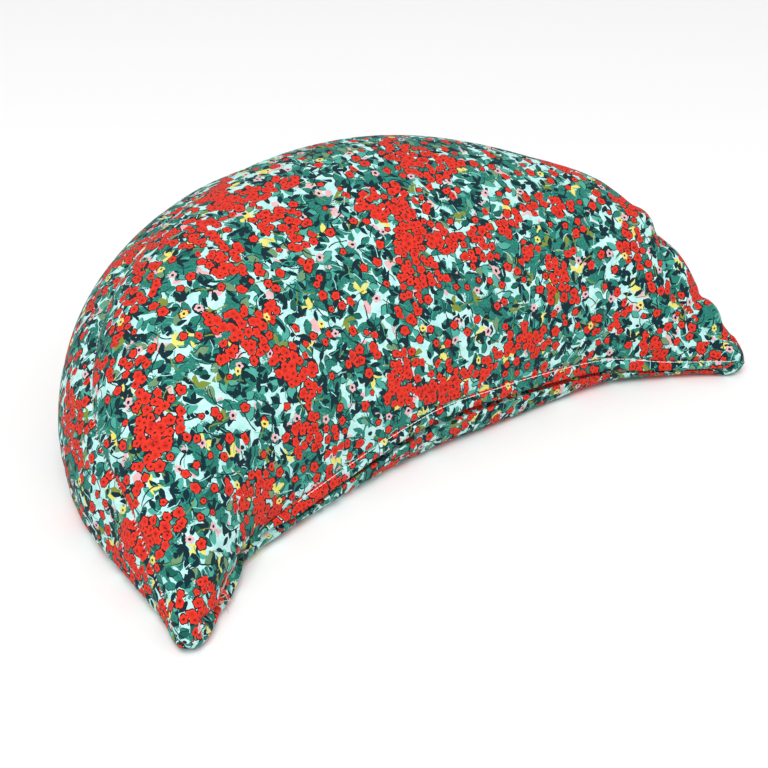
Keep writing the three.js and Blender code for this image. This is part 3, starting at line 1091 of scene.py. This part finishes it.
class Tree(Nodes):
    """A Geometry Nodes tree being put together."""

    def __init__(self, name, inputs):
        self.tree = bpy.data.node_groups.new(name, "GeometryNodeTree")
        new_socket = self.tree.interface.new_socket
        new_socket("Geometry", in_out="OUTPUT", socket_type="NodeSocketGeometry")
        new_socket("Geometry", in_out="INPUT", socket_type="NodeSocketGeometry")
        self.names = {
            label: new_socket(label, in_out="INPUT", socket_type=kind).identifier
            for label, kind in inputs.items()
        }
        self.start = self.tree.nodes.new("NodeGroupInput")

    def given(self, label):
        return Number(self, self.start.outputs[label])

    def attribute(self, name):
        node = self.add(
            "GeometryNodeInputNamedAttribute", {"data_type": "FLOAT_VECTOR"}, {"Name": name}
        )
        return node.outputs["Attribute"]

    def point(self, **sockets):
        return self.add("ShaderNodeCombineXYZ", sockets=sockets).outputs[0]

    def end(self, geometry, material):
        real = self.add("GeometryNodeRealizeInstances", sockets={"Geometry": geometry})
        done = self.add(
            "GeometryNodeSetMaterial",
            sockets={"Geometry": real.outputs[0], "Material": self.given(material)},
        )
        last = self.tree.nodes.new("NodeGroupOutput")
        self.tree.links.new(done.outputs[0], last.inputs[0])


def stitch_tree():
    """Arched stitches along a line, each turned to lie along it and to stand out of the cloth."""
    t = Tree("stitches", STITCH_INPUTS)
    line = t.add("GeometryNodeMeshToCurve", sockets={"Mesh": t.given("Geometry")})
    places = t.add(
        "GeometryNodeCurveToPoints",
        {"mode": "LENGTH"},
        {"Curve": line.outputs[0], "Length": t.given("Pitch")},
    )
    turned = t.add(
        "FunctionNodeAlignRotationToVector", {"axis": "Z"}, {"Vector": t.attribute("lie")}
    )
    turned = t.add(
        "FunctionNodeAlignRotationToVector",
        {"axis": "Y", "pivot_axis": "Z"},
        {"Rotation": turned.outputs[0], "Vector": t.attribute("out")},
    )
    length, unevenness = t.given("Stitch length"), t.given("Unevenness")
    arc = t.add("GeometryNodeCurveQuadraticBezier", {}, {
        "Resolution": 5,
        "Start": t.point(Z=-0.5 * length),
        "Middle": t.point(Y=t.given("Arch")),
        "End": t.point(Z=0.5 * length),
    })
    ring = t.add("GeometryNodeCurvePrimitiveCircle", {"mode": "RADIUS"}, {
        "Resolution": 7, "Radius": t.given("Thread radius"),
    })
    thread = t.add("GeometryNodeCurveToMesh", {}, {
        "Curve": arc.outputs[0], "Profile Curve": ring.outputs[0], "Fill Caps": True,
    })
    uneven = t.add("FunctionNodeRandomValue", {"data_type": "FLOAT"}, {
        "Min": 1 - unevenness, "Max": 1 + unevenness, "Seed": t.given("Seed"),
    })
    sewn = t.add("GeometryNodeInstanceOnPoints", {}, {
        "Points": places.outputs["Points"],
        "Instance": thread.outputs[0],
        "Rotation": turned.outputs[0],
        "Scale": t.point(X=1.0, Y=1.0, Z=next(o for o in uneven.outputs if o.enabled)),
    })
    t.end(sewn.outputs[0], "Thread")
    return t


def thread_finish(name, colour):
    f = Finish(name)
    where = f.add("ShaderNodeTexCoord").outputs["Object"]
    grain = f.add(
        "ShaderNodeTexNoise", sockets={"Vector": where, "Scale": 2500, "Detail": 2.0}
    )
    tone = f.mix(Number(f, grain.outputs[0]) * 0.35, colour, srgb(150, 148, 140))
    return f.surface({"Base Color": tone, "Roughness": 0.6, "Sheen Weight": 0.1})


white_thread = thread_finish("white_thread", srgb(245, 245, 240))
raw_thread = thread_finish("raw_thread", srgb(206, 178, 166))
stitches = stitch_tree()


def sew(name, points, lie, out, sizes):
    """A row of white stitches along the points, which are in metres in the frame."""
    row = new_piece(name, points, [], [(i, i + 1) for i in range(len(points) - 1)])
    for label, values in (("lie", lie), ("out", out)):
        ways = row.data.attributes.new(label, "FLOAT_VECTOR", "POINT")
        ways.data.foreach_set("vector", np.ascontiguousarray(values).ravel())
    nodes = row.modifiers.new("stitches", "NODES")
    nodes.node_group = stitches.tree
    values = [length * MM for length in sizes[:4]] + [*sizes[4:], white_thread]
    for label, value in zip(STITCH_INPUTS, values):
        nodes[stitches.names[label]] = value
    plain_mesh(row)
    settle_in(row)
    return row


# The stitches lie on the lap's cloth just under its upper edge
top_edge = home(lap_points[:, 1] * 0.8 + lap_points[:, 2] * 0.2)
along_edge = unit(np.gradient(top_edge, axis=0))
out_edge = np.cross(along_edge, unit(home(lap_points[:, 2]) - top_edge))
out_edge *= np.sign(-out_edge[:, 1:2])
stitch_line = top_edge + out_edge * (CLOTH / 2 + 0.02) * MM


def sew_lap(name, start, end, sizes):
    mine = (lap_shares > start) & (lap_shares < end)
    return sew(name, stitch_line[mine], along_edge[mine], out_edge[mine], sizes)


topstitch = sew_lap("topstitching", STITCH_FROM, 1, TOPSTITCHING)
backtack = sew_lap("backtack", *BACKTACK, BACKTACKING)

# The stitches of the top seam show where it is pulled open
cover_grid = points_of(cover)[:-2].reshape(-1, ring_count, 3)
percent = 100 * stations(STATIONS)
above, below = cover_grid[:, TOP_ROWS - 1], cover_grid[:, TOP_ROWS + 1]
between = 0.5 * (above + below)
seam_out, seam_lie = unit(between - cover_grid[:, TOP_ROWS]), unit(above - below)
for name, (start, end) in SEAM_STITCHES:
    mine = (percent > start) & (percent < end)
    sew(name, between[mine], seam_lie[mine], seam_out[mine], SEAM_STITCHING)


# Frayed thread ends

def tube(points, radius):
    """The points and faces of a thread along the points, round and closed at its ends."""
    ahead = unit(np.gradient(points, axis=0))
    side = unit(np.cross(ahead, (0.3, 0.2, 0.93)))
    over = np.cross(side, ahead)
    angle = np.arange(THREAD_SIDES) * 2 * math.pi / THREAD_SIDES
    shrink = np.minimum(1, 0.25 + np.arange(len(points))[::-1] / 3)[:, None, None]
    rings = points[:, None] + radius * shrink * (
        side[:, None] * np.cos(angle)[:, None] + over[:, None] * np.sin(angle)[:, None]
    )
    start = range(THREAD_SIDES)
    end = range((len(points) - 1) * THREAD_SIDES, len(points) * THREAD_SIDES)
    return rings.reshape(-1, 3), ring_faces(len(points), THREAD_SIDES) + [start, end[::-1]]


def fray():
    """The loose ends and the raw edge of cloth that they come from."""
    draw = np.random.default_rng(31)
    share = np.linspace(0, 1, THREAD_POINTS)[:, None]
    tubes = []
    for root in path_over(cover_grid, percent, FRAY_PATH, FRAYED_ENDS):
        way = unit(np.array(FRAY_WAY) + THREAD_SPREAD * draw.normal(size=3))
        curl = unit(np.cross(way, draw.normal(size=3)))
        length = draw.uniform(*FRAY_LENGTH) * MM
        bend = THREAD_CURL * curl * np.sin(draw.uniform(*CURL_TURN) * share)
        line = root + length * (share * way + bend)
        line[:, 2] = np.maximum(line[:, 2], 0.3 * MM)
        tubes.append(tube(line, draw.uniform(*THREAD_RADIUS) * MM))
    edge = path_over(cover_grid, percent, RAW_EDGE, RAW_EDGE_POINTS)
    wave = np.sin(np.arange(RAW_EDGE_POINTS) * 2.4)[:, None] * RAW_EDGE_WAVE
    tubes.append(tube(edge + wave * MM, RAW_EDGE_RADIUS * MM))

    points, faces = [], []
    for more, sides in tubes:
        faces += [tuple(v + len(points) for v in face) for face in sides]
        points += list(more)
    settle_in(new_piece("thread_ends", points, faces), raw_thread)


fray()


# The floor, the lights and the camera

floor = new_piece("floor", [(-4, -4, 0), (4, -4, 0), (4, 4, 0), (-4, 4, 0)], [(0, 1, 2, 3)])
pale = Finish("pale_floor").surface({"Base Color": (0.9, 0.9, 0.9, 1), "Roughness": 0.9})
floor.data.materials.append(pale)

world = bpy.data.worlds.new("studio")
bpy.context.scene.world = world
world.use_nodes = True
sky = world.node_tree.nodes["Background"].inputs
sky["Color"].default_value = (1, 1, 1, 1)
sky["Strength"].default_value = 0.72


def lamp(name, place, aim, size, power):
    light = bpy.data.lights.new(name, "AREA")
    light.size = size
    light.energy = power
    holder = bpy.data.objects.new(name, light)
    holder.location = place
    holder.rotation_euler = (Vector(aim) - Vector(place)).to_track_quat("-Z", "Y").to_euler()
    bpy.context.scene.collection.objects.link(holder)


lamp("key", (-1.0, -0.8, 2.0), (0, 0, 0.05), 1.2, 34)
lamp("fill", (1.4, -0.9, 1.1), (0, 0, 0.05), 1.4, 3)

AZIMUTH, ELEVATION, ROLL = math.radians(-41.9), math.radians(32.88), math.radians(2.65)
TARGET = Vector((-0.0190, -0.0531, 0.040))
DISTANCE = 0.9196
FOCAL_PIXELS = 1556.6
back = Vector((
    math.sin(AZIMUTH) * math.cos(ELEVATION),
    -math.cos(AZIMUTH) * math.cos(ELEVATION),
    math.sin(ELEVATION),
))
level = (-back).cross(Vector((0, 0, 1))).normalized()
upright = level.cross(-back)
right = math.cos(ROLL) * level + math.sin(ROLL) * upright
up = -math.sin(ROLL) * level + math.cos(ROLL) * upright
camera = bpy.data.objects.new("camera", bpy.data.cameras.new("camera"))
camera.data.sensor_width = 36
camera.data.lens = 36 * FOCAL_PIXELS / 768
place = Matrix.Translation(TARGET + back * DISTANCE)
camera.matrix_world = place @ Matrix((right, up, back)).transposed().to_4x4()
bpy.context.scene.collection.objects.link(camera)
bpy.context.scene.camera = camera
bpy.context.scene.view_settings.view_transform = "Standard"
